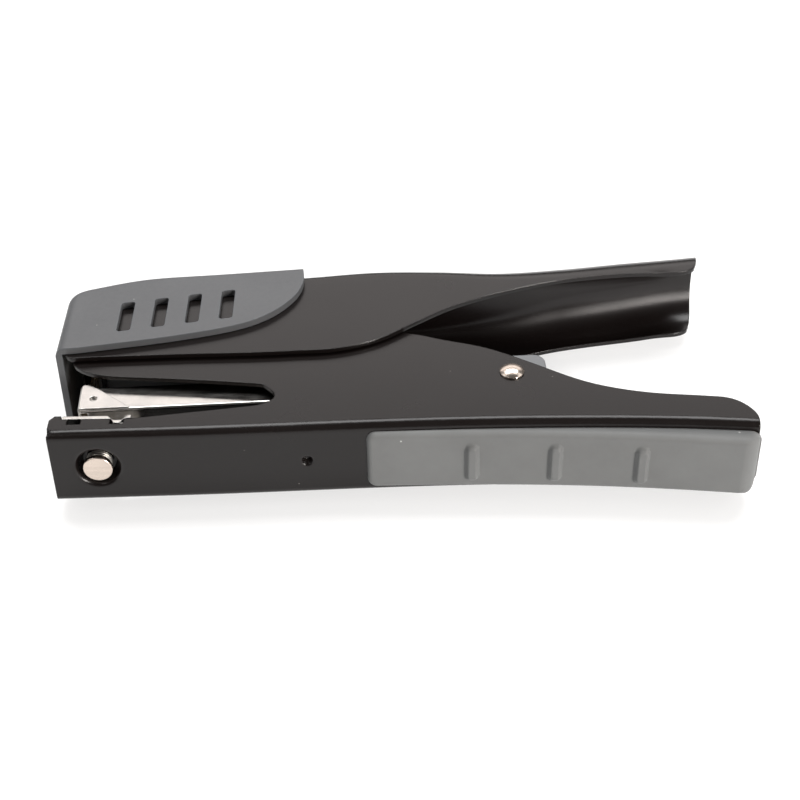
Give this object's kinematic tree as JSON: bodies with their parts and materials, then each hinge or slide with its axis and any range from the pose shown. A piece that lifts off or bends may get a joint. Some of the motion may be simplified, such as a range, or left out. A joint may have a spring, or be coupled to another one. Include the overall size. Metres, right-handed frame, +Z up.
{
  "type": "plier stapler",
  "caption": "Plier-type hand stapler: channel lower handle with anvil, sprung upper handle under a slotted nose cap, tilting magazine and driver lever.",
  "frame": {"origin": "centre of the bounding box in plan, on the lower side face of the nose cap; the tool lies on its side", "axes": "+X along the length from the nose to the handle ends, +Y from the lower handle's base to the upper handle, +Z up, square to the side plates"},
  "size_m": [0.164, 0.0784, 0.0269],
  "materials": {
    "handle_paint": "satin black paint over pressed sheet steel",
    "grip_rubber": "soft matt grey rubber",
    "rivet_metal": "bright nickel plate, slightly warm",
    "bush_steel": "plain turned steel",
    "spring_steel": "spring wire, light oil",
    "pin_steel": "hardened ground steel",
    "washer_plastic": "natural nylon",
    "anvil_nickel": "nickel plate over stamped steel",
    "button_nickel": "nickel plate, turned face",
    "magazine_nickel": "bright nickel plate",
    "shoe_nickel": "bright nickel plate",
    "rail_steel": "zinc plated steel",
    "staple_wire": "galvanised flat wire, glued",
    "pusher_steel": "pressed steel",
    "knob_plastic": "moulded grey plastic",
    "lever_steel": "blackened steel",
    "blade_steel": "tempered spring steel, straw coloured",
    "cap_plastic": "fine textured blue grey plastic"
  },
  "bodies": {
    "frame": {"lower_handle": "handle_paint", "grip_pad": "grip_rubber", "rear_rivet": "rivet_metal", "pivot_bush": "bush_steel", "return_spring": "spring_steel", "hinge_pin": "pin_steel", "hinge_washers": "washer_plastic", "anvil_spring": "spring_steel", "magazine_spring": "spring_steel"},
    "anvil": {"anvil_plate": "anvil_nickel", "anvil_stem": "anvil_nickel", "anvil_button": "button_nickel"},
    "upper": {"upper_handle": "handle_paint", "nose_cap": "cap_plastic", "press_bracket": "lever_steel"},
    "lever": {"driver_lever": "lever_steel", "driver_blade": "blade_steel", "blade_rivets": "rivet_metal"},
    "magazine": {"magazine_channel": "magazine_nickel", "nose_shoe": "shoe_nickel", "staple_rail": "rail_steel", "staple_strip": "staple_wire", "guide_rod": "rail_steel", "pusher_spring": "spring_steel"},
    "follower": {"pusher": "pusher_steel", "pull_strip": "rail_steel", "strip_rivet": "rivet_metal", "pull_knob": "knob_plastic"}
  },
  "joints": [
    {"name": "squeeze", "type": "hinge", "parent": "frame", "child": "upper", "pos_m": [-0.072, 0.00316, 0.01345], "axis": [0, 0, -1], "range_deg": [0, 10], "stiffness_Nm_per_rad": 3, "springref_deg": -8.59},
    {"name": "drive", "type": "hinge", "parent": "frame", "child": "lever", "pos_m": [0.0264, -0.01464, 0.01345], "axis": [0, 0, 1], "range_deg": [0, 6.6], "deforming": ["return_spring"]},
    {"name": "magazine_dip", "type": "hinge", "parent": "frame", "child": "magazine", "pos_m": [0.0264, -0.01464, 0.01345], "axis": [0, 0, 1], "range_deg": [0, 2], "deforming": ["magazine_spring"]},
    {"name": "load", "type": "slide", "parent": "magazine", "child": "follower", "axis": [0.9988, 0.048, 0], "range_m": [0, 0.042], "stiffness_N_per_m": 40, "springref_m": -0.03, "deforming": ["pusher_spring"]},
    {"name": "anvil_push", "type": "slide", "parent": "frame", "child": "anvil", "axis": [0, 1, 0], "range_m": [0, 0.0017], "stiffness_N_per_m": 800, "springref_m": -0.002, "deforming": ["anvil_spring"]}
  ],
  "couplings": [
    {"joint": "drive", "follows": "squeeze", "ratio": 0.652},
    {"joint": "magazine_dip", "follows": "squeeze", "ratio": 0.19}
  ]
}
